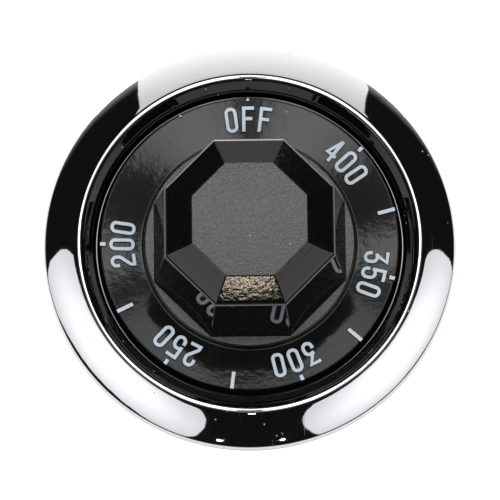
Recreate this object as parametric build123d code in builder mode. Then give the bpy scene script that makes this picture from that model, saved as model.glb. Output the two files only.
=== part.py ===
"""Griddle control knob with its bezel.

A black moulded knob, with an eight-sided grip on a dished round dial, turns in the dish of a
chromed bezel pressed from one disc of sheet steel. A leaf spring in the knob's hub grips the
flat of the control's shaft.

Frame: millimetres, +Z out of the front panel towards the cook. Z = 0 is the panel's face, which
the bezel's rim and floor lie on. The origin is on the shaft's axis, and OFF points to +Y.
"""

import os
from math import atan2, cos, degrees, hypot, radians, tan

from build123d import *

os.makedirs("parts", exist_ok=True)

# Bezel: one chromed steel pressing, 76.2 mm across
bezel_sheet = 0.8
rim_height = 1.9
rim_round = 1.0
flange_width = 7.03
flange_crown = 10.0
flange_crown_share = 0.62
lip_height = 5.2
lip_round = 1.5
funnel_width = 2.26
funnel_slope = 47.0
dish_bend = 0.9
floor_bend = 0.5
collar_hole_diameter = 19.05
screw_spacing = 28.6
screw_hole_diameter = 3.8

# Knob: dial, its skirt and the boss under the grip
dial_diameter = 54.7
dial_slope = 8.0
dial_edge_round = 0.3
skirt_height = 3.06
skirt_draft = 17.4
skirt_foot_round = 0.3
boss_diameter = 39.3
boss_step = 1.3
boss_round = 0.5
boss_cove = 0.3

# Knob: eight-sided grip, with its widths across flats
grip_sides = 8
grip_foot = 35.3
grip_shoulder = 30.6
grip_crown = 20.6
grip_height = 17.6
bevel_height = 2.3
shoulder_round = 1.2
grip_corner_round = 0.4

# Knob: hollow back, with a recessed hub and ribs
skirt_wall = 2.0
dial_web = 1.6
grip_wall = 3.2
grip_roof = 3.0
hub_diameter = 14.0
hub_recess = 3.2
rib_count = 4
rib_thickness = 1.8

# Socket for a D-shaped control shaft
shaft_diameter = 6.35
shaft_across_flat = 4.76
shaft_clearance = 0.05
socket_depth = 14.0

# Leaf spring behind the socket's flat
spring_sheet = 0.4
spring_width = 3.6
spring_length = 11.0
spring_foot = 1.6
spring_ramp = 2.4
spring_bow = 0.5
spring_bend = 0.8
spring_inset = 0.6
spring_side_clearance = 0.2
spring_end_clearance = 0.2

# Running clearances between knob and bezel
dial_side_clearance = 0.5
dial_foot_clearance = 0.3

# Tolerance for picking edges by their level
level = 0.01

# Levels and radii that follow from the sizes above
knob_foot_z = bezel_sheet + dial_foot_clearance
dial_edge_z = knob_foot_z + skirt_height
dial_radius = dial_diameter / 2
skirt_spread = skirt_height * tan(radians(skirt_draft))
skirt_foot_radius = dial_radius + skirt_spread
boss_radius = boss_diameter / 2
dial_fall = tan(radians(dial_slope))
boss_foot_z = dial_edge_z - (dial_radius - boss_radius) * dial_fall
boss_z = boss_foot_z + boss_step
shoulder_z = boss_z + grip_height
crown_z = shoulder_z + bevel_height
hub_radius = hub_diameter / 2
hub_foot_z = knob_foot_z + hub_recess

dish_radius = skirt_foot_radius + dial_side_clearance
lip_radius = dish_radius + funnel_width
bezel_radius = lip_radius + flange_width
flange_slope = degrees(atan2(lip_height - rim_height, flange_width))
lip_half_turn = radians(flange_slope + funnel_slope) / 2
lip_corner_z = lip_height + lip_round * (1 / cos(lip_half_turn) - 1)
funnel_foot_z = lip_corner_z - funnel_width * tan(radians(funnel_slope))

# Flange's gentle crown: a corner raised over the middle of its slope, rounded widely
flange_rise = lip_corner_z - rim_height
flange_length = hypot(flange_width, flange_rise)
half_crown = tan(radians(flange_crown / 2))
crown_lift = flange_length / 2 * half_crown
flange_mid_radius = (bezel_radius + lip_radius) / 2 + crown_lift * flange_rise / flange_length
flange_mid_z = (rim_height + lip_corner_z) / 2 + crown_lift * flange_width / flange_length
flange_crown_round = flange_crown_share * flange_length / 2 / half_crown


def grip_width(z):
    """Width of the grip's walls across flats at level z."""
    return grip_foot - (z - boss_z) * (grip_foot - grip_shoulder) / grip_height


def corner_radius(across_flats):
    """Radius through the corners of the grip's outline."""
    return across_flats / 2 / cos(radians(180 / grip_sides))


def grip_outline(across_flats):
    """Draws the grip's outline in the open sketch, with a flat side towards +Y."""
    RegularPolygon(corner_radius(across_flats), grip_sides, rotation=180 / grip_sides)


# Bezel: rim, crowned flange, rolled lip, funnel, dish wall and floor in one sheet
with BuildPart() as bezel:
    with BuildSketch(Plane.XZ):
        with BuildLine():
            FilletPolyline(
                (bezel_radius, 0),
                (bezel_radius, rim_height),
                (flange_mid_radius, flange_mid_z),
                (lip_radius, lip_corner_z),
                (dish_radius, funnel_foot_z),
                (dish_radius, bezel_sheet),
                (collar_hole_diameter / 2, bezel_sheet),
                radius=[rim_round, flange_crown_round, lip_round, dish_bend, floor_bend],
            )
            offset(amount=bezel_sheet, side=Side.LEFT)
        make_face()
    revolve(axis=Axis.Z)
    with PolarLocations(screw_spacing / 2, 2):
        Hole(screw_hole_diameter / 2)
bezel.part.label = "bezel"
export_step(bezel.part, "parts/bezel.step")

# Space inside the grip, around the hub and its ribs
pocket_foot_z = boss_foot_z - dial_web
pocket_roof_z = crown_z - grip_roof
with BuildPart() as pocket:
    with BuildSketch(Plane.XY.offset(pocket_foot_z)):
        grip_outline(grip_width(pocket_foot_z) - 2 * grip_wall)
    with BuildSketch(Plane.XY.offset(pocket_roof_z)):
        grip_outline(grip_width(pocket_roof_z) - 2 * grip_wall)
    loft(ruled=True)
    with BuildSketch(Plane.XY.offset(hub_foot_z)):
        Circle(hub_radius)
        with PolarLocations(0, rib_count, start_angle=180 / rib_count):
            Rectangle(grip_foot / 2, rib_thickness, align=(Align.MIN, Align.CENTER))
    extrude(amount=pocket_roof_z - hub_foot_z, mode=Mode.SUBTRACT)

# Leaf spring: two feet on the floor of its slot, bowed in to the shaft's flat
socket_flat_y = shaft_across_flat - shaft_diameter / 2 + shaft_clearance
spring_seat_y = socket_flat_y + spring_sheet + spring_bow
spring_crown_y = spring_seat_y - spring_bow
spring_foot_z = hub_foot_z + spring_inset
spring_end_z = spring_foot_z + spring_length
with BuildPart() as shaft_spring:
    with BuildSketch(Plane.YZ):
        with BuildLine():
            FilletPolyline(
                (spring_seat_y, spring_foot_z),
                (spring_seat_y, spring_foot_z + spring_foot),
                (spring_crown_y, spring_foot_z + spring_foot + spring_ramp),
                (spring_crown_y, spring_end_z - spring_foot - spring_ramp),
                (spring_seat_y, spring_end_z - spring_foot),
                (spring_seat_y, spring_end_z),
                radius=spring_bend,
            )
            offset(amount=spring_sheet, side=Side.LEFT)
        make_face()
    extrude(amount=spring_width / 2, both=True)
shaft_spring.part.label = "shaft_spring"
export_step(shaft_spring.part, "parts/shaft_spring.step")

# Knob: dial and boss turned as one profile, grip lofted on top, hollowed from the back
with BuildPart() as knob:
    with BuildSketch(Plane.XZ):
        with BuildLine():
            Polyline(
                (0, knob_foot_z),
                (skirt_foot_radius, knob_foot_z),
                (dial_radius, dial_edge_z),
                (boss_radius, boss_foot_z),
                (boss_radius, boss_z),
                (0, boss_z),
                close=True,
            )
        make_face()
    revolve(axis=Axis.Z)
    turned_edges = knob.edges().filter_by(GeomType.CIRCLE)
    dial_edge = turned_edges.filter_by_position(Axis.Z, dial_edge_z - level, dial_edge_z + level)
    skirt_foot = turned_edges.filter_by_position(Axis.Z, knob_foot_z - level, knob_foot_z + level)
    boss_edge = turned_edges.filter_by_position(Axis.Z, boss_z - level, boss_z + level)
    boss_foot = turned_edges.filter_by_position(Axis.Z, boss_foot_z - level, boss_foot_z + level)
    fillet(dial_edge, dial_edge_round)
    fillet(skirt_foot, skirt_foot_round)
    fillet(boss_edge, boss_round)
    fillet(boss_foot, boss_cove)

    with BuildSketch(Plane.XY.offset(boss_z)):
        grip_outline(grip_foot)
    with BuildSketch(Plane.XY.offset(shoulder_z)):
        grip_outline(grip_shoulder)
    loft(ruled=True)
    with BuildSketch(Plane.XY.offset(shoulder_z)):
        grip_outline(grip_shoulder)
    with BuildSketch(Plane.XY.offset(crown_z)):
        grip_outline(grip_crown)
    loft(ruled=True)
    shoulder_edges = knob.edges().filter_by_position(Axis.Z, shoulder_z - level, shoulder_z + level)
    fillet(shoulder_edges, shoulder_round)
    wall_corners = knob.edges().filter_by_position(Axis.Z, boss_z + level, shoulder_z - shoulder_round)
    fillet(wall_corners, grip_corner_round)

    with BuildSketch(Plane.XZ):
        with BuildLine():
            Polyline(
                (0, knob_foot_z),
                (skirt_foot_radius - skirt_wall, knob_foot_z),
                (dial_radius - skirt_wall, dial_edge_z - skirt_wall * dial_fall - dial_web),
                (boss_radius, pocket_foot_z),
                (0, pocket_foot_z),
                close=True,
            )
        make_face()
    revolve(axis=Axis.Z, mode=Mode.SUBTRACT)
    add(pocket.part, mode=Mode.SUBTRACT)

    with BuildSketch(Plane.XY.offset(hub_foot_z)):
        Circle(shaft_diameter / 2 + shaft_clearance)
        with Locations((0, socket_flat_y)):
            Rectangle(hub_diameter, hub_diameter, align=(Align.CENTER, Align.MIN), mode=Mode.SUBTRACT)
    extrude(amount=socket_depth, mode=Mode.SUBTRACT)
    with BuildSketch(Plane.XY.offset(hub_foot_z)):
        with Locations((0, socket_flat_y)):
            Rectangle(
                spring_width + 2 * spring_side_clearance,
                spring_seat_y - socket_flat_y,
                align=(Align.CENTER, Align.MIN),
            )
    extrude(amount=spring_inset + spring_length + spring_end_clearance, mode=Mode.SUBTRACT)
knob.part.label = "knob"
export_step(knob.part, "parts/knob.step")
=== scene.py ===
"""Griddle knob with bezel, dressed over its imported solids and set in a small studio.

The bezel is turned from its sheet's section, the knob is turned, lofted and hollowed like the moulding,
and the dial's figures and ticks are raised ribbons on its dished face. Lengths are metres in the part's
frame: +Z out of the panel, +Y towards OFF, and the origin on the shaft's axis at the panel.
"""

from math import acos, atan2, ceil, cos, pi, radians, sin, sqrt, tan

import bmesh
import bpy
from bpy.props import FloatProperty, FloatVectorProperty, IntProperty, PointerProperty
from mathutils import Euler, Matrix, Quaternion, Vector


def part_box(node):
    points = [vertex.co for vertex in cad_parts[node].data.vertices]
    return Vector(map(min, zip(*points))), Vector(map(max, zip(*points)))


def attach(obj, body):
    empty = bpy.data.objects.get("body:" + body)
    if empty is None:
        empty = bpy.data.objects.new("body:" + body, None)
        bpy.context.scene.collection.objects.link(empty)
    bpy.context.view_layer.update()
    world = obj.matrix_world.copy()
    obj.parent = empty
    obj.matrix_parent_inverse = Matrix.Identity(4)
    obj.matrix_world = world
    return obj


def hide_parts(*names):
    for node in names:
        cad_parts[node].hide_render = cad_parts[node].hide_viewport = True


bl_info = {
    "name": "Griddle Knob with Bezel",
    "version": (1, 0, 0),
    "blender": (4, 5, 0),
    "location": "View3D > Sidebar > Griddle Knob",
    "description": "Builds a griddle control knob, its chromed bezel and a small studio",
    "category": "Object",
}

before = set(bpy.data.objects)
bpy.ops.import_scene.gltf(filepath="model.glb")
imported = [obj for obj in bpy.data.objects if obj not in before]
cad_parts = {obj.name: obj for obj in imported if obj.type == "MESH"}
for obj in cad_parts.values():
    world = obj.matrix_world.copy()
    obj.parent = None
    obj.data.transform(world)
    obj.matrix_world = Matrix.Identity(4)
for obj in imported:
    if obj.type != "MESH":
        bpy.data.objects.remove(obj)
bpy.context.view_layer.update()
bezel_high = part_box("bezel")[1]
knob_low, knob_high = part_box("knob")

MM = 0.001
ROUND = 2 * pi

# Fineness of the meshes, and the distance at which two points are one
TURN_SEGMENTS = 192
HUB_SEGMENTS = 64
HOLE_SEGMENTS = 48
FLOOR_SEGMENTS = 96
CORNER_STEPS = 4
ARC_STEP = radians(6)
SAME_POINT = 1e-7

# Edges stay crisp past this turn, and flats outweigh rounds in the shading
SHARP_ANGLE = radians(28)
FLAT_WEIGHT = 100

# Share of the flange that its crown bends, and the limit that keeps a sharp corner's mitre short
CROWN_SHARE = 0.62
SHORT_MITRE = 0.66

# A figure's face is stamped where its normal points up by at least this much
FACES_UP = 0.8

# Levels where the painted shade on the bezel's rim and the painted shadow at its foot fade out, and softness
# of the knob's levels
RIM_PAINTED_SHADE = (1.7 * MM, 2.2 * MM)
FOOT_PAINTED_SHADOW = (1.1 * MM, 1.4 * MM)
LEVEL_GAP = 0.02 * MM
LEVEL_FADE = 0.1 * MM

# Studio: lights, floor and where the floor's own light falls or rises
LIGHT_DISTANCE = 0.6
FILL_HEIGHT = 0.9
FILL_WIDTH = 1.2
FLOOR_REACH = 0.9
FLOOR_DROP = 0.02 * MM
FLOOR_GLOW_FALL = (0.07, 0.12)
BACK_GLOW_RISE = (0.05, 0.13)
BACK_GLOW_TAPER = 0.7
WARM_WHITE = (1, 0.86, 0.66)
COOL_WHITE = (0.975, 0.985, 1)

# Camera's sensor, in millimetres
SENSOR_WIDTH = 36


def length(name, description, default):
    """A length that a user may change, in metres."""
    return FloatProperty(
        name=name, description=description, default=default, min=0, precision=5, unit="LENGTH"
    )


def coordinate(name, description, default):
    """A place along an axis that a user may change, in metres."""
    return FloatProperty(name=name, description=description, default=default, precision=5, unit="LENGTH")


def angle(name, description, default):
    """An angle that a user may change, in degrees on screen."""
    return FloatProperty(name=name, description=description, default=radians(default), subtype="ANGLE")


def colour(name, description, default):
    """A colour that a user may change."""
    return FloatVectorProperty(
        name=name, description=description, default=default, size=3, min=0, max=1, subtype="COLOR"
    )


def amount(name, description, default):
    """A plain number that a user may change."""
    return FloatProperty(name=name, description=description, default=default, min=0)


class BezelSizes(bpy.types.PropertyGroup):
    """Sizes of the chromed bezel."""

    radius: length("Radius", "Outer radius of the rim", bezel_high.x)
    sheet: length("Sheet", "Thickness of the pressed sheet", 0.8 * MM)
    rim_height: length("Rim height", "Height of the rim where the flange's slope meets it", 1.9 * MM)
    rim_round: length("Rim round", "Bend radius between rim and flange", 1.0 * MM)
    flange_width: length("Flange width", "From the lip's corner out to the rim", 7.03 * MM)
    flange_crown: angle("Flange crown", "Turn of the flange's gentle crown from rim to lip", 10)
    lip_height: length("Lip height", "Height of the lip's crest over the panel", 5.2 * MM)
    lip_round: length("Lip round", "Bend radius of the lip", 1.5 * MM)
    funnel_width: length("Funnel width", "From the lip's corner in to the dish", 2.26 * MM)
    funnel_slope: angle("Funnel slope", "Slope of the funnel inside the lip", 47)
    dish_bend: length("Dish bend", "Bend radius between funnel and dish wall", 0.9 * MM)
    floor_bend: length("Floor bend", "Bend radius between dish wall and floor", 0.5 * MM)
    collar_hole: length("Collar hole", "Diameter of the hole for the control's collar", 19.05 * MM)
    screw_hole: length("Screw hole", "Diameter of each screw hole", 3.8 * MM)
    screw_spacing: length("Screw spacing", "Distance between the screw holes", 28.6 * MM)


class KnobSizes(bpy.types.PropertyGroup):
    """Sizes of the moulded knob."""

    dial_radius: length("Dial radius", "Radius of the dial's upper edge", 27.35 * MM)
    skirt_height: length("Skirt height", "Height of the dial's drafted side", 3.06 * MM)
    skirt_draft: angle("Skirt draft", "Draft of the dial's side", 17.4)
    skirt_round: length("Skirt round", "Rounding of the skirt's foot", 0.3 * MM)
    dial_slope: angle("Dial slope", "Slope of the dished face down to the boss", 8)
    dial_round: length("Dial round", "Rounding of the dial's upper edge", 0.25 * MM)
    boss_radius: length("Boss radius", "Radius of the boss under the grip", 19.65 * MM)
    boss_step: length("Boss step", "Height of the boss over the dial", 1.3 * MM)
    boss_round: length("Boss round", "Rounding of the boss's edge", 0.5 * MM)
    boss_cove: length("Boss cove", "Hollow round at the boss's foot", 0.3 * MM)
    grip_sides: IntProperty(name="Grip sides", description="Flat sides around the grip", default=8, min=3)
    grip_foot: length("Grip foot", "Width of the grip across flats at the boss", 35.3 * MM)
    grip_shoulder: length("Grip shoulder", "Width across flats under the bevel", 30.6 * MM)
    grip_crown: length("Grip crown", "Width across flats of the flat crown", 20.6 * MM)
    bevel_height: length("Bevel height", "Height of the bevel under the crown", 2.3 * MM)
    shoulder_round: length("Shoulder round", "Rounding between wall and bevel", 1.2 * MM)
    crown_round: length("Crown round", "Rounding of the crown's edge", 0.12 * MM)
    corner_round: length("Corner round", "Rounding of the grip's upright corners", 0.4 * MM)
    skirt_wall: length("Skirt wall", "Thickness of the skirt", 2.0 * MM)
    dial_web: length("Dial web", "Thickness of the dial", 1.6 * MM)
    grip_wall: length("Grip wall", "Thickness of the grip's walls", 3.2 * MM)
    grip_roof: length("Grip roof", "Thickness under the crown", 3.0 * MM)
    hub_radius: length("Hub radius", "Radius of the hub", 7.0 * MM)
    hub_recess: length("Hub recess", "From the skirt's foot up to the hub's end", 3.2 * MM)
    rib_thickness: length("Rib thickness", "Thickness of the ribs around the hub", 1.8 * MM)
    socket_radius: length("Socket radius", "Radius of the shaft's socket", 3.225 * MM)
    socket_flat: length("Socket flat", "From the axis to the socket's flat", 1.635 * MM)
    socket_depth: length("Socket depth", "Depth of the shaft's socket", 14.0 * MM)
    slot_width: length("Slot width", "Width of the spring's slot", 4.0 * MM)
    slot_depth: length("Slot depth", "Depth of the slot behind the flat", 0.9 * MM)
    slot_length: length("Slot length", "Length of the slot along the shaft", 11.8 * MM)


class FigureSizes(bpy.types.PropertyGroup):
    """Sizes of the dial's raised figures and ticks."""

    radius: length("Radius", "From the axis to the middle of the figures", 23.5 * MM)
    height: length("Height", "Overall height of a figure", 4.65 * MM)
    width: length("Width", "Overall width of a figure", 2.25 * MM)
    stroke: length("Stroke", "Width of a figure's strokes", 0.62 * MM)
    pitch: length("Pitch", "From one figure to the next along the arc", 3.1 * MM)
    relief: length("Relief", "Height of figures and ticks over the dial", 0.32 * MM)
    draft: length("Draft", "How far a stroke's foot spreads on each side", 0.22 * MM)
    tick_end: length("Tick end", "Outer radius of the ticks", 27.5 * MM)
    long_tick: length("Long tick", "Length of a tick between numbers", 3.2 * MM)
    short_tick: length("Short tick", "Length of a tick over a number", 1.0 * MM)
    tick_width: length("Tick width", "Width of the ticks", 0.68 * MM)
    number_step: angle("Number step", "Turn between one number and the next", 55)
    first_number: angle("First number", "Turn from OFF to the highest number", 50)
    pointer: length("Pointer", "Width and height of the small pointer over OFF", 0.65 * MM)
    pip: length("Pip", "Diameter of the small pip beside OFF", 0.37 * MM)
    pip_turn: angle("Pip turn", "Turn from the pip to OFF", 27.5)


class Finishes(bpy.types.PropertyGroup):
    """Colours of the materials."""

    chrome: colour("Chrome", "Bright chrome plate", (0.83, 0.84, 0.855))
    moulding: colour("Moulding", "Black phenolic moulding", (0.003, 0.0029, 0.0028))
    moulding_brown: colour("Moulding brown", "Brown filler in the moulding", (0.011, 0.008, 0.0055))
    satin: colour("Satin", "Paler grain of the satin crown and boss", (0.030, 0.0275, 0.025))
    stamp: colour("Stamp", "Pale foil stamped on the figures", (0.56, 0.645, 0.725))
    spring: colour("Spring", "Tempered spring strip", (0.36, 0.36, 0.38))
    dust: colour("Dust", "Dust and lint", (0.42, 0.41, 0.39))
    floor: colour("Floor", "Pale studio floor", (0.86, 0.86, 0.86))


class StudioSettings(bpy.types.PropertyGroup):
    """Camera and lights."""

    elevation: angle("Elevation", "Height of the camera over the floor", 77.8)
    azimuth: angle("Azimuth", "Turn of the camera about the shaft's axis", -0.7)
    distance: length("Distance", "From the camera to the point it looks at", 700 * MM)
    picture_width: length("Picture width", "Width seen at the point looked at", 92.55 * MM)
    aim_x: coordinate("Aim X", "Point looked at, to the right of the axis", 0.06 * MM)
    aim_y: coordinate("Aim Y", "Point looked at, from the axis towards OFF", -0.5 * MM)
    overhead: amount("Overhead", "Radiance of the strip softbox overhead", 4.0)
    overhead_front: amount("Overhead front", "Radiance of the softboxes in front of the strip", 2.4)
    overhead_bridge: amount("Overhead bridge", "Radiance of the softbox between strip and front", 1.8)
    overhead_back: amount("Overhead back", "Radiance of the softbox behind the strip", 1.6)
    back_strip: amount("Back strip", "Radiance of the low strip behind", 8.0)
    sides: amount("Sides", "Radiance of the front softboxes", 1.3)
    sweep: amount("Sweep", "Radiance of the sweep behind", 1.15)
    lamp: amount("Lamp", "Radiance of the small warm lamps in front", 22.0)
    fill: amount("Fill", "Power of the soft fill light, in watts", 11.0)
    floor_glow: amount("Floor glow", "Light that the floor gives off under the bezel", 0.55)
    back_glow: amount("Back glow", "Light that the floor gives off behind the bezel", 8.0)
    room: amount("Room", "Brightness of the dark room", 0.006)
    horizon: amount("Horizon", "Brightness of the room near the floor", 0.3)
    ceiling: amount("Ceiling", "Brightness of the room overhead", 0.16)


# Mesh helpers


def rounded_path(corners, closed=False):
    """Points along straight runs whose corners (x, y, radius) are rounded, each with its left normal."""
    count = len(corners)
    spots = [Vector(corner[:2]) for corner in corners]
    path = []
    for i, corner in enumerate(corners):
        radius = corner[2] if len(corner) > 2 else 0
        here = spots[i]
        if not closed and i in (0, count - 1):
            ahead = spots[1] - here if i == 0 else here - spots[i - 1]
            path.append((here, left_of(ahead)))
            continue
        back = (spots[i - 1] - here).normalized()
        ahead = (spots[(i + 1) % count] - here).normalized()
        half = acos(max(-1, min(1, back.dot(ahead)))) / 2
        if radius == 0:
            path.append((here, (left_of(-back) + left_of(ahead)).normalized() / max(sin(half), SHORT_MITRE)))
            continue
        centre = here + (back + ahead).normalized() * radius / sin(half)
        start = here + back * radius / tan(half) - centre
        turn = pi - 2 * half
        side = 1 if left_of(-back).dot(ahead) > 0 else -1
        steps = max(2, ceil(turn / ARC_STEP))
        for k in range(steps + 1):
            spoke = start.copy()
            spoke.rotate(Matrix.Rotation(side * turn * k / steps, 2))
            path.append((centre + spoke, -side * spoke.normalized()))
    return path


def left_of(direction):
    """Unit normal on the left of a direction in a plane."""
    return Vector((-direction.y, direction.x)).normalized()


def new_object(name, vertices, faces):
    """Links a mesh object made of vertices and faces, with its normals outwards."""
    mesh = bpy.data.meshes.new(name)
    mesh.from_pydata(vertices, [], faces)
    form = bmesh.new()
    form.from_mesh(mesh)
    bmesh.ops.remove_doubles(form, verts=form.verts, dist=SAME_POINT)
    bmesh.ops.recalc_face_normals(form, faces=form.faces)
    form.to_mesh(mesh)
    form.free()
    piece = bpy.data.objects.new(name, mesh)
    bpy.context.scene.collection.objects.link(piece)
    return piece


def loft_rings(name, rings):
    """Solid through closed rings of equal length, capped at both ends."""
    size = len(rings[0])
    vertices = [point for ring in rings for point in ring]
    faces = [tuple(range(size)), tuple(range(len(vertices) - size, len(vertices)))]
    for level in range(len(rings) - 1):
        low = level * size
        for i in range(size):
            after = (i + 1) % size
            faces.append((low + i, low + after, low + size + after, low + size + i))
    return new_object(name, vertices, faces)


def turned(name, section):
    """Solid of revolution from a closed section of (radius, height) points."""
    count = len(section)
    vertices = []
    faces = []
    for step in range(TURN_SEGMENTS):
        turn = ROUND * step / TURN_SEGMENTS
        vertices += [(r * cos(turn), r * sin(turn), z) for r, z in section]
        low = step * count
        high = (step + 1) % TURN_SEGMENTS * count
        for i in range(count):
            after = (i + 1) % count
            faces.append((low + i, low + after, high + after, high + i))
    piece = new_object(name, vertices, faces)
    form = bmesh.new()
    form.from_mesh(piece.data)
    bmesh.ops.dissolve_degenerate(form, edges=form.edges, dist=SAME_POINT)
    form.to_mesh(piece.data)
    form.free()
    return piece


def circle(radius, segments, x=0):
    """Points around a circle whose centre is on the X axis."""
    turns = [ROUND * k / segments for k in range(segments)]
    return [(x + radius * cos(turn), radius * sin(turn)) for turn in turns]


def prism(name, outline, low, high):
    """Upright solid between two levels."""
    return loft_rings(name, [[(x, y, z) for x, y in outline] for z in (low, high)])


def carve(piece, tool, operation="DIFFERENCE"):
    """Cuts a tool out of a piece, or joins it on, and removes the tool."""
    cut = piece.modifiers.new("carve", "BOOLEAN")
    cut.operation = operation
    cut.solver = "EXACT"
    cut.object = tool
    bake_modifiers(piece)
    bpy.data.objects.remove(tool)


def bake_modifiers(piece):
    """Turns a piece's modifiers into plain mesh."""
    evaluated = piece.evaluated_get(bpy.context.evaluated_depsgraph_get())
    mesh = bpy.data.meshes.new_from_object(evaluated)
    piece.modifiers.clear()
    old = piece.data
    piece.data = mesh
    bpy.data.meshes.remove(old)


def smooth(piece):
    """Smooth shading that stays flat on flats and crisp at sharp edges."""
    piece.data.shade_smooth()
    piece.data.set_sharp_from_angle(angle=SHARP_ANGLE)
    weighted = piece.modifiers.new("flats", "WEIGHTED_NORMAL")
    weighted.keep_sharp = True
    weighted.weight = FLAT_WEIGHT
    bake_modifiers(piece)


def dress(piece, body, slot, *materials):
    """Gives a piece its materials and the body that it rides on; its slot is not used."""
    for material in materials:
        piece.data.materials.append(material)
    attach(piece, body)


# Materials


class Value:
    """A node's socket that takes part in arithmetic: each operation adds a Math node."""

    def __init__(self, finish, socket):
        self.finish = finish
        self.socket = socket

    def __add__(self, other):
        return self.finish.math("ADD", self, other)

    def __sub__(self, other):
        return self.finish.math("SUBTRACT", self, other)

    def __rsub__(self, other):
        return self.finish.math("SUBTRACT", other, self)

    def __mul__(self, other):
        return self.finish.math("MULTIPLY", self, other)

    __radd__ = __add__
    __rmul__ = __mul__


class Finish:
    """A material in the making, with one method that adds any node."""

    def __init__(self, name):
        self.material = bpy.data.materials.new(name)
        self.material.use_nodes = True
        self.tree = self.material.node_tree
        self.tree.nodes.clear()

    def node(self, kind, settings=None, inputs=None, output=0):
        """Adds a node, sets its settings, then fills or links its sockets, and gives one of its outputs."""
        node = self.tree.nodes.new(kind)
        for key, value in (settings or {}).items():
            setattr(node, key, value)
        for key, value in (inputs or {}).items():
            if isinstance(value, Value):
                self.tree.links.new(value.socket, node.inputs[key])
            else:
                node.inputs[key].default_value = value
        return Value(self, node.outputs[output]) if node.outputs else None

    def math(self, operation, *values):
        """A Math node on values and numbers."""
        return self.node("ShaderNodeMath", {"operation": operation}, dict(enumerate(values)))

    def place(self):
        """Coordinates fixed to the piece, in metres."""
        return self.node("ShaderNodeTexCoord", output="Object")

    def along(self, place, axis):
        """One coordinate of a place."""
        return self.node("ShaderNodeSeparateXYZ", inputs={"Vector": place}, output=axis)

    def reach(self, place):
        """Distance of a place from the origin."""
        return self.node("ShaderNodeVectorMath", {"operation": "LENGTH"}, {0: place}, "Value")

    def noise(self, scale, detail=2.0, roughness=0.5, place=None):
        """Noise between 0 and 1, with its scale in cycles for each metre."""
        place = place or self.place()
        inputs = {"Vector": place, "Scale": scale, "Detail": detail, "Roughness": roughness}
        return self.node("ShaderNodeTexNoise", inputs=inputs)

    def ramp(self, value, low, high):
        """Smooth step from 0 at low to 1 at high."""
        inputs = {"Value": value, "From Min": low, "From Max": high}
        return self.node("ShaderNodeMapRange", {"interpolation_type": "SMOOTHSTEP"}, inputs)

    def blend(self, factor, first, second):
        """Colour between two colours."""
        colours = [(*c, 1) if not isinstance(c, Value) else c for c in (first, second)]
        return self.node("ShaderNodeMix", {"data_type": "RGBA"}, {0: factor, 6: colours[0], 7: colours[1]}, 2)

    def specks(self, scale, size, share):
        """Small dots scattered over a share of the cells of a grid."""
        inputs = {"Vector": self.place(), "Scale": scale}
        far = self.node("ShaderNodeTexVoronoi", inputs=inputs, output="Distance")
        pick = self.node("ShaderNodeTexVoronoi", inputs=inputs, output="Color")
        chance = self.node("ShaderNodeSeparateColor", inputs={"Color": pick})
        chosen = self.math("LESS_THAN", chance, share)
        return (1 - self.ramp(far, size * 0.6, size)) * chosen

    def bump(self, height, depth, strength=1.0, normal=None):
        """Normal from a height between 0 and 1 that stands for a depth in metres."""
        inputs = {"Height": height, "Distance": depth, "Strength": strength}
        if normal:
            inputs["Normal"] = normal
        return self.node("ShaderNodeBump", inputs=inputs)

    def surface(self, **sockets):
        """Ends the material in a Principled surface and gives the material."""
        inputs = {name.replace("_", " "): value for name, value in sockets.items()}
        shader = self.node("ShaderNodeBsdfPrincipled", inputs=inputs)
        self.node("ShaderNodeOutputMaterial", inputs={"Surface": shader})
        return self.material


class RoomLight(Finish):
    """The room around the lights, made with the same node methods."""

    def __init__(self, world):
        self.tree = world.node_tree
        self.tree.nodes.clear()


def shade(tint, share):
    """A colour darkened to a share of itself."""
    return [channel * share for channel in tint]


def chrome_finish(colours):
    """Bright chrome with faint smudges, hairlines, dust and the sheet's slight waves, darkened on its rim and
    foot by painted shade.
    """
    finish = Finish("chrome_plate")
    smudge = finish.ramp(finish.noise(140, 4, 0.6), 0.5, 0.78)
    dust = finish.specks(900, 0.16, 0.05)
    hairs = finish.noise(2200, 1, 0.4)
    waves = finish.noise(140, 2, 0.4)
    place = finish.place()
    height = finish.along(place, "Z")
    # Painted shade: the chrome darkens on the rim in place of the floor's dimmer reflection, and more at the
    # foot in place of the contact shadow
    rim = 1 - finish.ramp(height, *RIM_PAINTED_SHADE)
    foot = 1 - finish.ramp(height, *FOOT_PAINTED_SHADOW)
    inputs = {"Vector": place, "Rotation": (0, 0, 0.9), "Scale": (4000, 70, 70)}
    streaks = finish.noise(1.0, 1, 0.3, finish.node("ShaderNodeMapping", inputs=inputs))
    scratch = finish.ramp(streaks, 0.76, 0.8)
    # The plate takes the painted shade on the rim and the darker painted shadow at the foot
    plate = finish.blend(rim, colours.chrome, shade(colours.chrome, 0.55))
    plate = finish.blend(foot, plate, shade(colours.chrome, 0.22))
    tint = finish.blend(dust, plate, colours.dust)
    normal = finish.bump(waves, 0.06 * MM, 0.6)
    normal = finish.bump(hairs, 0.0016 * MM, 0.5, normal)
    return finish.surface(
        Base_Color=tint,
        Metallic=1 - dust * 0.8,
        Roughness=0.03 + smudge * 0.03 + dust * 0.5 + scratch * 0.1 + rim * 0.06,
        Normal=normal,
    )


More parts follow.
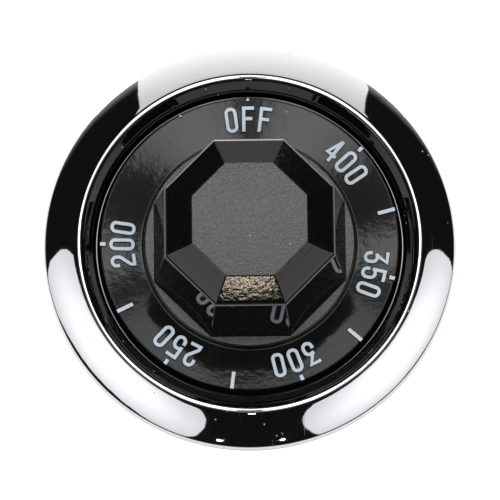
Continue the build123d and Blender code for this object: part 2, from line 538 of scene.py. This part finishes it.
def moulding_finish(colours, sizes):
    """Black phenolic: polished walls, a softer dial, and a satin crown and boss."""
    finish = Finish("phenolic_moulding")
    place = finish.place()
    height = finish.along(place, "Z")
    boss_z = boss_level(sizes)
    crown = finish.ramp(height, knob_high.z - sizes.crown_round, knob_high.z - LEVEL_GAP)
    over_boss = finish.ramp(height, boss_z - LEVEL_FADE, boss_z - LEVEL_GAP)
    boss = over_boss * (1 - finish.ramp(height, boss_z + LEVEL_GAP, boss_z + LEVEL_FADE))
    dial = 1 - over_boss
    satin = finish.math("MINIMUM", crown + boss, 1.0)
    grain = finish.noise(2700, 1.5, 0.5) * satin
    cloud = finish.noise(220, 4, 0.6)
    smoke = finish.noise(650, 2, 0.6) * (0.2 + dial * 0.8)
    dust = finish.specks(700, 0.13, 0.06)
    brown = finish.ramp(finish.noise(900, 5, 0.7), 0.45, 0.8)
    base = finish.blend(brown * 0.7, colours.moulding, colours.moulding_brown)
    mottle = finish.ramp(finish.noise(3000, 2, 0.6), 0.35, 0.7) * satin
    base = finish.blend(mottle, base, colours.satin)
    gloss = 0.03 + cloud * 0.05 + dial * 0.03 + satin * 0.08
    shoulder_z = shoulder_level(sizes)
    bevel = finish.ramp(height, shoulder_z + 2 * LEVEL_FADE, shoulder_z + 4 * LEVEL_FADE) * (1 - crown)
    frost = finish.noise(1100, 2, 0.6) * bevel
    normal = finish.bump(frost, 0.008 * MM)
    normal = finish.bump(grain, 0.018 * MM, normal=normal)
    normal = finish.bump(smoke, 0.014 * MM, normal=normal)
    return finish.surface(
        Base_Color=finish.blend(dust * 0.8, base, colours.dust),
        Roughness=finish.math("MINIMUM", gloss + dust * 0.5, 1.0),
        IOR=1.6,
        Normal=normal,
    )


def stamp_finish(colours):
    """Pale stamped foil, slightly uneven."""
    finish = Finish("pale_stamp")
    cloud = finish.noise(700, 3, 0.6)
    worn = finish.ramp(finish.noise(2600, 3, 0.7), 0.62, 0.8)
    return finish.surface(
        Base_Color=finish.blend(cloud * 0.35 + worn * 0.4, colours.stamp, shade(colours.stamp, 0.72)),
        Roughness=0.42 + cloud * 0.2,
        Normal=finish.bump(cloud, 0.03 * MM, 0.3),
    )


def spring_finish(colours):
    """Rolled spring strip with fine lines along its length."""
    finish = Finish("spring_strip")
    place = finish.node("ShaderNodeMapping", inputs={"Vector": finish.place(), "Scale": (9000, 9000, 500)})
    lines = finish.noise(1.0, 2, 0.5, place)
    return finish.surface(
        Base_Color=finish.blend(lines, colours.spring, shade(colours.spring, 0.7)),
        Metallic=1.0,
        Roughness=0.26 + lines * 0.16,
        Normal=finish.bump(lines, 0.004 * MM, 0.4),
    )


def floor_finish(colours, studio):
    """Pale studio floor, brightly lit behind the bezel."""
    finish = Finish("studio_floor")
    cloud = finish.noise(18, 2, 0.5)
    place = finish.place()
    x = finish.along(place, "X")
    y = finish.along(place, "Y")
    behind = finish.ramp(y - finish.math("ABSOLUTE", x) * BACK_GLOW_TAPER, *BACK_GLOW_RISE)
    near = studio.floor_glow / studio.back_glow
    far = finish.ramp(finish.reach(place), *FLOOR_GLOW_FALL)
    around = finish.blend(far, (near, near, near), (0, 0, 0))
    return finish.surface(
        Base_Color=finish.blend(cloud, colours.floor, shade(colours.floor, 0.985)),
        Roughness=0.75,
        Emission_Color=finish.blend(behind, around, (1, 1, 1)),
        Emission_Strength=studio.back_glow,
    )


def cloth_finish(name, radiance, size, edge=0.6, tint=(1, 1, 1)):
    """Glowing softbox cloth that falls to a share of its radiance at its edges."""
    finish = Finish(name)
    inputs = {"Vector": finish.place(), "Scale": (2 / size[0], 2 / size[1], 1)}
    place = finish.node("ShaderNodeMapping", inputs=inputs)
    return glow(finish, finish.ramp(finish.reach(place), 0.2, 1.2), radiance, edge, tint)


def sweep_finish(name, radiance, size, edge):
    """Glowing sweep, brightest at its foot."""
    finish = Finish(name)
    height = finish.along(finish.place(), "Y")
    return glow(finish, finish.ramp(height, -size[1] / 2, size[1] / 4), radiance, edge, (1, 1, 1))


def glow(finish, fall, radiance, edge, tint):
    """Ends a finish in glowing cloth that falls to a share of its radiance."""
    return finish.surface(
        Base_Color=(0, 0, 0, 1),
        Roughness=1.0,
        Emission_Color=finish.blend(fall, tint, shade(tint, edge)),
        Emission_Strength=radiance,
    )


# Knob levels that follow from its sizes


def dial_edge_level(sizes):
    """Height of the dial's upper edge."""
    return knob_low.z + sizes.skirt_height


def dial_level(sizes, radius):
    """Height of the dial's dished face at a radius."""
    return dial_edge_level(sizes) - (sizes.dial_radius - radius) * tan(sizes.dial_slope)


def boss_level(sizes):
    """Height of the boss that the grip stands on."""
    return dial_level(sizes, sizes.boss_radius) + sizes.boss_step


def hub_level(sizes):
    """Height of the recessed hub's end."""
    return knob_low.z + sizes.hub_recess


def shoulder_level(sizes):
    """Height of the corner between the grip's walls and its bevel."""
    return knob_high.z - sizes.bevel_height


def grip_width(sizes, height):
    """Width of the grip's walls across flats at a height."""
    boss_z = boss_level(sizes)
    taper = (sizes.grip_foot - sizes.grip_shoulder) / (shoulder_level(sizes) - boss_z)
    return sizes.grip_foot - (height - boss_z) * taper


def grip_ring(sizes, across_flats, height):
    """Ring of points around the grip at one level, with a flat side towards +Y."""
    half = pi / sizes.grip_sides
    corner_round = sizes.corner_round
    reach = (across_flats / 2 - corner_round) / cos(half)
    ring = []
    for side in range(sizes.grip_sides):
        corner = ROUND * side / sizes.grip_sides + half
        for k in range(CORNER_STEPS + 1):
            turn = corner - half + 2 * half * k / CORNER_STEPS
            x = reach * cos(corner) + corner_round * cos(turn)
            y = reach * sin(corner) + corner_round * sin(turn)
            ring.append((x, y, height))
    return ring


def make_dial(sizes):
    """Dial, skirt and boss turned as one solid."""
    foot = sizes.dial_radius + sizes.skirt_height * tan(sizes.skirt_draft)
    corners = [
        (0, knob_low.z),
        (foot, knob_low.z, sizes.skirt_round),
        (sizes.dial_radius, dial_edge_level(sizes), sizes.dial_round),
        (sizes.boss_radius, dial_level(sizes, sizes.boss_radius), sizes.boss_cove),
        (sizes.boss_radius, boss_level(sizes), sizes.boss_round),
        (0, boss_level(sizes)),
    ]
    return turned("knob_moulding", [point[:] for point, _ in rounded_path(corners)])


def make_grip(sizes):
    """Tapered eight-sided grip with its rounded shoulder and bevel, sunk a little into the boss."""
    foot_z = boss_level(sizes) - sizes.boss_step
    corners = [
        (grip_width(sizes, foot_z) / 2, foot_z),
        (sizes.grip_shoulder / 2, shoulder_level(sizes), sizes.shoulder_round),
        (sizes.grip_crown / 2, knob_high.z, sizes.crown_round),
        (sizes.grip_crown / 2 - 2 * sizes.crown_round, knob_high.z),
    ]
    path = rounded_path(corners)
    return loft_rings("grip", [grip_ring(sizes, 2 * x, z) for (x, z), _ in path])


def make_back_hollow(sizes):
    """Shallow space under the dial."""
    foot = sizes.dial_radius + sizes.skirt_height * tan(sizes.skirt_draft) - sizes.skirt_wall
    inner = sizes.dial_radius - sizes.skirt_wall
    below = knob_low.z - sizes.skirt_wall
    roof = pocket_level(sizes)
    section = [
        (0, below),
        (foot, below),
        (foot, knob_low.z),
        (inner, dial_level(sizes, inner) - sizes.dial_web),
        (sizes.boss_radius, roof),
        (0, roof),
    ]
    return turned("back_hollow", section)


def pocket_level(sizes):
    """Height of the dial's underside at the boss, where the grip's pocket opens."""
    return dial_level(sizes, sizes.boss_radius) - sizes.dial_web


def make_pocket(sizes):
    """Space inside the grip, with the recessed hub and its ribs left standing."""
    roof = knob_high.z - sizes.grip_roof
    rings = []
    for z in (pocket_level(sizes), roof):
        rings.append(grip_ring(sizes, grip_width(sizes, z) - 2 * sizes.grip_wall, z))
    pocket = loft_rings("pocket", rings)
    over = roof + sizes.dial_web
    carve(pocket, prism("hub", circle(sizes.hub_radius, HUB_SEGMENTS), hub_level(sizes), over))
    for turn in (pi / 4, -pi / 4):
        rib = bar_outline(sizes.grip_foot, sizes.rib_thickness, turn)
        carve(pocket, prism("rib", rib, hub_level(sizes), over))
    return pocket


def bar_outline(long, wide, turn):
    """Rectangle about the origin, turned in its plane."""
    along = Vector((cos(turn), sin(turn))) * long / 2
    across = Vector((-sin(turn), cos(turn))) * wide / 2
    return [along + across, across - along, -along - across, along - across]


def make_socket(sizes):
    """D-shaped socket for the shaft."""
    flat_turn = acos(sizes.socket_flat / sizes.socket_radius)
    start = pi / 2 + flat_turn
    sweep = ROUND - 2 * flat_turn
    turns = [start + sweep * k / HOLE_SEGMENTS for k in range(HOLE_SEGMENTS + 1)]
    outline = [(sizes.socket_radius * cos(t), sizes.socket_radius * sin(t)) for t in turns]
    return prism("socket", outline, knob_low.z, hub_level(sizes) + sizes.socket_depth)


def make_spring_slot(sizes):
    """Slot behind the socket's flat."""
    near = sizes.socket_flat - sizes.slot_depth
    far = sizes.socket_flat + sizes.slot_depth
    half = sizes.slot_width / 2
    outline = [(-half, near), (half, near), (half, far), (-half, far)]
    return prism("spring_slot", outline, knob_low.z, hub_level(sizes) + sizes.slot_length)


# Dial figures


def figure_strokes(half_width, half_height):
    """Centre lines of the figures: corners (x, y, radius) of each stroke, and whether it closes."""
    w = half_width
    h = half_height
    bend = w * 0.92
    loop = [(-w, -h, bend), (w, -h, bend), (w, h, bend), (-w, h, bend)]
    two = [(-w, 0.5 * h), (-w, h, w), (w, h, w), (w, 0.25 * h, w), (-w, -0.7 * h, w), (-w, -h), (w, -h)]
    return {
        "0": [(loop, True)],
        "O": [(loop, True)],
        "2": [(two, False)],
        "3": [
            ([(-w, h), (w, h), (-0.45 * w, 0.06 * h)], False),
            ([(-0.55 * w, 0.04 * h), (w, 0.14 * h, w), (w, -h, w), (-w, -h, w), (-w, -0.52 * h)], False),
        ],
        "4": [
            ([(0.45 * w, -h), (0.45 * w, h)], False),
            ([(0.3 * w, h), (-w, -0.44 * h), (w, -0.44 * h)], False),
        ],
        "5": [
            ([(w, h), (-w, h), (-w, -0.02 * h)], False),
            ([(-w, 0.08 * h), (w, 0.2 * h, w), (w, -h, w), (-w, -h, w), (-w, -0.55 * h)], False),
        ],
        "F": [([(-w, -h), (-w, h), (w, h)], False), ([(-w, 0.04 * h), (0.6 * w, 0.04 * h)], False)],
    }


class Relief:
    """Collects raised ribbons on the dial's dished face into one mesh."""

    def __init__(self, knob, figures):
        self.knob = knob
        self.figures = figures
        self.vertices = []
        self.faces = []

    def lift(self, spot, clock, radius, rise):
        """Point over the dial for a spot beside a clock position, at a rise over the face."""
        out = radius + spot[1]
        x = out * sin(clock) + spot[0] * cos(clock)
        y = out * cos(clock) - spot[0] * sin(clock)
        return (x, y, dial_level(self.knob, sqrt(x * x + y * y)) + rise)

    def ring(self, outline, clock, radius, rise):
        """Adds a ring of points and gives its indices."""
        first = len(self.vertices)
        self.vertices += [self.lift(spot, clock, radius, rise) for spot in outline]
        return list(range(first, len(self.vertices)))

    def wall(self, first, second):
        """Joins two rings of points."""
        size = len(first)
        for i in range(size):
            after = (i + 1) % size
            self.faces.append((first[i], first[after], second[after], second[i]))

    def block(self, top, foot):
        """Closes a solid between a top and a foot."""
        self.faces += [tuple(top), tuple(foot)]
        self.wall(top, foot)

    def ribbon(self, path, closed, width, clock, radius):
        """Raises a ribbon of a width along a path of points and normals."""
        half = width / 2
        spread = half + self.figures.draft
        rise = self.figures.relief
        sink = -self.figures.draft
        if closed:
            rings = {}
            for name, offset, level in (
                ("outer", -half, rise),
                ("inner", half, rise),
                ("outer_foot", -spread, sink),
                ("inner_foot", spread, sink),
            ):
                rings[name] = self.ring([p + n * offset for p, n in path], clock, radius, level)
            self.wall(rings["outer"], rings["inner"])
            self.wall(rings["outer_foot"], rings["inner_foot"])
            self.wall(rings["outer"], rings["outer_foot"])
            self.wall(rings["inner"], rings["inner_foot"])
            return
        top = self.ring(ribbon_outline(path, half), clock, radius, rise)
        foot = self.ring(ribbon_outline(path, spread), clock, radius, sink)
        self.block(top, foot)

    def plate(self, corners, clock, radius):
        """Raises a small plate from the corners of its outline."""
        path = rounded_path(corners, True)
        top = self.ring([point for point, _ in path], clock, radius, self.figures.relief)
        foot = self.ring([p - n * self.figures.draft for p, n in path], clock, radius, -self.figures.draft)
        self.block(top, foot)

    def finish(self, name, colours):
        """Makes the collected ribbons one piece on the knob, pale on top and moulding on the sides."""
        piece = new_object(name, self.vertices, self.faces)
        for face in piece.data.polygons:
            face.material_index = 0 if face.normal.z > FACES_UP else 1
        moulding = bpy.data.materials["phenolic_moulding"]
        dress(piece, "turning_knob", "phenolic", stamp_finish(colours), moulding)


def ribbon_outline(path, half):
    """Closed outline of a ribbon around an open path, with square ends half a width past it."""
    left = [p + n * half for p, n in path]
    right = [p - n * half for p, n in path]
    for side in (left, right):
        side[0] += left_of(path[0][1]) * half
        side[-1] -= left_of(path[-1][1]) * half
    return left + right[::-1]


# Operators


def settings_of(context):
    """The settings that the operators work from."""
    return context.scene.griddle_knob


class GRIDDLE_OT_bezel(bpy.types.Operator):
    """Build the chromed bezel from its sheet's section"""

    bl_idname = "griddle.bezel"
    bl_label = "Bezel"

    def execute(self, context):
        sizes = settings_of(context).bezel
        lip_radius = sizes.radius - sizes.flange_width
        dish_radius = lip_radius - sizes.funnel_width
        flange_slope = atan2(sizes.lip_height - sizes.rim_height, sizes.flange_width)
        lip_half_turn = (flange_slope + sizes.funnel_slope) / 2
        lip_corner = sizes.lip_height + sizes.lip_round * (1 / cos(lip_half_turn) - 1)
        rim = Vector((sizes.radius, sizes.rim_height))
        lip = Vector((lip_radius, lip_corner))
        half_flange = (lip - rim).length / 2
        half_crown = tan(sizes.flange_crown / 2)
        crown_rise = half_flange * half_crown
        crown = (rim + lip) / 2 - left_of(lip - rim) * crown_rise
        crown_round = CROWN_SHARE * half_flange / half_crown
        corners = [
            (sizes.radius, 0),
            (*rim, sizes.rim_round),
            (*crown, crown_round),
            (*lip, sizes.lip_round),
            (dish_radius, lip_corner - sizes.funnel_width * tan(sizes.funnel_slope), sizes.dish_bend),
            (dish_radius, sizes.sheet, sizes.floor_bend),
            (sizes.collar_hole / 2, sizes.sheet),
        ]
        path = rounded_path(corners)
        front = [point for point, _ in path]
        back = [point + normal * sizes.sheet for point, normal in path]
        piece = turned("bezel_pressing", [point[:] for point in front + back[::-1]])
        for side in (-1, 1):
            hole = circle(sizes.screw_hole / 2, HOLE_SEGMENTS, side * sizes.screw_spacing / 2)
            carve(piece, prism("screw_hole", hole, -sizes.sheet, 2 * sizes.sheet))
        smooth(piece)
        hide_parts("bezel")
        dress(piece, "bezel_ring", "chrome", chrome_finish(settings_of(context).finishes))
        return {"FINISHED"}


class GRIDDLE_OT_knob(bpy.types.Operator):
    """Build the knob: turned dial, eight-sided grip, hollow back"""

    bl_idname = "griddle.knob"
    bl_label = "Knob"

    def execute(self, context):
        sizes = settings_of(context).knob
        piece = make_dial(sizes)
        carve(piece, make_grip(sizes), "UNION")
        for make_tool in (make_back_hollow, make_pocket, make_socket, make_spring_slot):
            carve(piece, make_tool(sizes))
        smooth(piece)
        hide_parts("knob")
        dress(piece, "turning_knob", "phenolic", moulding_finish(settings_of(context).finishes, sizes))
        return {"FINISHED"}


class GRIDDLE_OT_spring(bpy.types.Operator):
    """Give the shaft's leaf spring its rolled steel finish"""

    bl_idname = "griddle.spring"
    bl_label = "Shaft spring"

    def execute(self, context):
        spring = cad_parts["shaft_spring"]
        spring.data.materials.clear()
        spring.data.materials.append(spring_finish(settings_of(context).finishes))
        return {"FINISHED"}


class GRIDDLE_OT_figures(bpy.types.Operator):
    """Raise the numbers and OFF around the dial"""

    bl_idname = "griddle.figures"
    bl_label = "Figures"

    def execute(self, context):
        settings = settings_of(context)
        sizes = settings.figures
        strokes = figure_strokes((sizes.width - sizes.stroke) / 2, (sizes.height - sizes.stroke) / 2)
        pitch = sizes.pitch / sizes.radius
        relief = Relief(settings.knob, sizes)
        for clock, word in dial_words(sizes):
            for place, letter in enumerate(word):
                turn = clock + (place - (len(word) - 1) / 2) * pitch
                for corners, closed in strokes[letter]:
                    relief.ribbon(rounded_path(corners, closed), closed, sizes.stroke, turn, sizes.radius)
        relief.finish("dial_figures", settings.finishes)
        return {"FINISHED"}


def dial_words(sizes):
    """Words around the dial, each with its clock position from OFF."""
    words = [(0, "OFF")]
    for step, number in enumerate((400, 350, 300, 250, 200)):
        words.append((sizes.first_number + step * sizes.number_step, str(number)))
    return words


class GRIDDLE_OT_ticks(bpy.types.Operator):
    """Raise the ticks at the dial's edge"""

    bl_idname = "griddle.ticks"
    bl_label = "Ticks"

    def execute(self, context):
        settings = settings_of(context)
        sizes = settings.figures
        relief = Relief(settings.knob, sizes)
        for clock, word in dial_words(sizes):
            if word == "OFF":
                continue
            self.tick(relief, sizes, clock, sizes.short_tick)
            if word != "200":
                self.tick(relief, sizes, clock + sizes.number_step / 2, sizes.long_tick)
        half = sizes.pointer / 2
        relief.plate([(-half, -sizes.pointer), (half, -sizes.pointer), (0, 0)], 0, sizes.tick_end)
        dot = sizes.pip / 2
        corners = [(-dot, -dot, dot), (dot, -dot, dot), (dot, dot, dot), (-dot, dot, dot)]
        relief.plate(corners, -sizes.pip_turn, sizes.tick_end - sizes.pip)
        relief.finish("dial_ticks", settings.finishes)
        return {"FINISHED"}

    @staticmethod
    def tick(relief, sizes, clock, long):
        """Raises one tick that ends at the dial's edge."""
        half = sizes.tick_width / 2
        path = rounded_path([(0, half - long), (0, -half)])
        relief.ribbon(path, False, sizes.tick_width, clock, sizes.tick_end)


class GRIDDLE_OT_stage(bpy.types.Operator):
    """Set the floor, lights and camera"""

    bl_idname = "griddle.stage"
    bl_label = "Stage"

    def execute(self, context):
        settings = settings_of(context)
        studio = settings.studio
        self.make_floor(settings)
        self.make_room(context.scene, studio)
        self.make_lights(studio)
        self.make_camera(context.scene, studio)
        return {"FINISHED"}

    @staticmethod
    def make_floor(settings):
        """Round pale floor under the bezel."""
        rim = [(x, y, 0) for x, y in circle(FLOOR_REACH, FLOOR_SEGMENTS)]
        floor = new_object("floor", rim, [tuple(range(FLOOR_SEGMENTS))])
        floor.location.z = -FLOOR_DROP
        floor.data.materials.append(floor_finish(settings.finishes, settings.studio))

    @staticmethod
    def make_room(scene, studio):
        """Dark room around the lights, softly lit near the floor and overhead."""
        scene.world = bpy.data.worlds.new("dark_room")
        scene.world.use_nodes = True
        room = RoomLight(scene.world)
        way = room.node("ShaderNodeTexCoord", output="Generated")
        height = room.along(way, "Z")
        horizon = (1 - room.ramp(height, 0.18, 0.32)) * studio.horizon
        ceiling = room.ramp(height, 0.88, 0.96) * studio.ceiling
        background = room.node("ShaderNodeBackground", inputs={"Color": horizon + ceiling + studio.room})
        room.node("ShaderNodeOutputWorld", inputs={"Surface": background})
        scene.view_settings.view_transform = "Standard"

    def make_lights(self, studio):
        """Softboxes left and right in front, a sweep behind, softboxes overhead and small warm lamps."""
        for name, clock, elevation, size, roll in (
            ("right_front", 117.5, 38, (0.77, 0.225), -11),
            ("left_front", 242.5, 39.5, (0.8, 0.225), 11),
        ):
            cloth = cloth_finish(name, studio.sides, size, edge=0.62, tint=COOL_WHITE)
            self.softbox(name, clock, elevation, size, cloth, corner=0.8, roll=roll)
        size = (0.63, 0.4)
        self.softbox("sweep", 1.5, 24, size, sweep_finish("sweep", studio.sweep, size, edge=0.55))
        size = (0.75, 0.055)
        self.softbox("back_strip", -8, 2.7, size, cloth_finish("back_strip", studio.back_strip, size))
        # Level cards overhead: where their sides lie, and shares for dimmer edges and round corners
        for name, left, right, front, back, radiance, edge, corner in (
            ("overhead_left", -0.097, -0.012, -0.11, 0.068, studio.overhead_front, 0.7, 0.3),
            ("overhead_right", 0.012, 0.097, -0.11, 0.068, studio.overhead_front, 0.7, 0.3),
            ("overhead_bridge", -0.09, 0.09, 0.07, 0.117, studio.overhead_bridge, 0.8, 0.2),
            ("overhead_strip", -0.136, 0.136, 0.119, 0.168, studio.overhead, 0.4, 0.9),
            ("overhead_back", -0.125, 0.125, 0.193, 0.266, studio.overhead_back, 0.7, 0.3),
        ):
            size = (right - left, back - front)
            middle = Vector(((left + right) / 2, (front + back) / 2, LIGHT_DISTANCE))
            card = self.card(name, size, corner, cloth_finish(name, radiance, size, edge))
            card.location = middle
        for name, clock, elevation, size in (
            ("lamp_left", 180.85, 53.0, (0.0085, 0.0065)),
            ("lamp_right", 179.15, 53.0, (0.0085, 0.0065)),
            ("low_lamp_left", 191, 35, (0.013, 0.008)),
            ("low_lamp_right", 169, 35, (0.013, 0.008)),
        ):
            self.softbox(name, clock, elevation, size, cloth_finish(name, studio.lamp, size, tint=WARM_WHITE))
        self.fill_light(studio)

    @staticmethod
    def fill_light(studio):
        """Wide soft light overhead that polished faces do not mirror."""
        light = bpy.data.lights.new("fill", "AREA")
        light.size = FILL_WIDTH
        light.energy = studio.fill
        lamp = bpy.data.objects.new("fill", light)
        lamp.location.z = FILL_HEIGHT
        lamp.visible_glossy = False
        bpy.context.scene.collection.objects.link(lamp)

    def softbox(self, name, clock, elevation, size, cloth, corner=0.3, roll=0):
        """Glowing card at a clock position and elevation in degrees, facing the knob."""
        turn = radians(clock)
        rise = radians(elevation)
        away = Vector((sin(turn) * cos(rise), cos(turn) * cos(rise), sin(rise)))
        card = self.card(name, size, corner, cloth)
        card.location = away * LIGHT_DISTANCE
        tilt = away.to_track_quat("Z", "Y") @ Quaternion((0, 0, 1), radians(roll))
        card.rotation_euler = tilt.to_euler()

    @staticmethod
    def card(name, size, corner, cloth):
        """Glowing level card with rounded corners, which the camera looks through."""
        wide, tall = (side / 2 for side in size)
        bend = corner * min(wide, tall)
        corners = [(-wide, -tall, bend), (wide, -tall, bend), (wide, tall, bend), (-wide, tall, bend)]
        rim = [(*point, 0) for point, _ in rounded_path(corners, True)]
        card = new_object(name, rim, [tuple(range(len(rim)))])
        card.data.materials.append(cloth)
        card.visible_camera = False
        return card

    @staticmethod
    def make_camera(scene, studio):
        """Camera at the photograph's steep viewing angle, for a square picture."""
        data = bpy.data.cameras.new("camera")
        data.sensor_width = SENSOR_WIDTH
        data.lens = data.sensor_width * studio.distance / studio.picture_width
        camera = bpy.data.objects.new("camera", data)
        camera.rotation_euler = Euler((pi / 2 - studio.elevation, 0, studio.azimuth))
        aim = Vector((studio.aim_x, studio.aim_y, 0))
        back = Vector((0, 0, studio.distance))
        back.rotate(camera.rotation_euler)
        camera.location = aim + back
        scene.collection.objects.link(camera)
        scene.camera = camera


class GriddleKnob(bpy.types.PropertyGroup):
    """All settings of the knob, its bezel and the studio."""

    bezel: PointerProperty(type=BezelSizes, name="Bezel", description="Sizes of the bezel")
    knob: PointerProperty(type=KnobSizes, name="Knob", description="Sizes of the knob")
    figures: PointerProperty(type=FigureSizes, name="Figures", description="Sizes of the figures")
    finishes: PointerProperty(type=Finishes, name="Finishes", description="Colours of the materials")
    studio: PointerProperty(type=StudioSettings, name="Studio", description="Camera and lights")


BUILD_STEPS = (
    GRIDDLE_OT_bezel,
    GRIDDLE_OT_knob,
    GRIDDLE_OT_spring,
    GRIDDLE_OT_figures,
    GRIDDLE_OT_ticks,
    GRIDDLE_OT_stage,
)


class VIEW3D_PT_griddle_knob(bpy.types.Panel):
    """Lists the knob's building steps"""

    bl_label = "Griddle Knob"
    bl_space_type = "VIEW_3D"
    bl_region_type = "UI"
    bl_category = "Griddle Knob"

    def draw(self, context):
        for step in BUILD_STEPS:
            self.layout.operator(step.bl_idname)


CLASSES = (
    BezelSizes,
    KnobSizes,
    FigureSizes,
    Finishes,
    StudioSettings,
    GriddleKnob,
    *BUILD_STEPS,
    VIEW3D_PT_griddle_knob,
)


def register():
    """Registers the classes and the scene's settings."""
    for cls in CLASSES:
        bpy.utils.register_class(cls)
    bpy.types.Scene.griddle_knob = PointerProperty(type=GriddleKnob)


def unregister():
    """Removes the scene's settings and the classes."""
    del bpy.types.Scene.griddle_knob
    for cls in reversed(CLASSES):
        bpy.utils.unregister_class(cls)


def main():
    """Builds everything in order."""
    register()
    bpy.ops.griddle.bezel()
    bpy.ops.griddle.knob()
    bpy.ops.griddle.spring()
    bpy.ops.griddle.figures()
    bpy.ops.griddle.ticks()
    bpy.ops.griddle.stage()


if __name__ == "__main__":
    main()
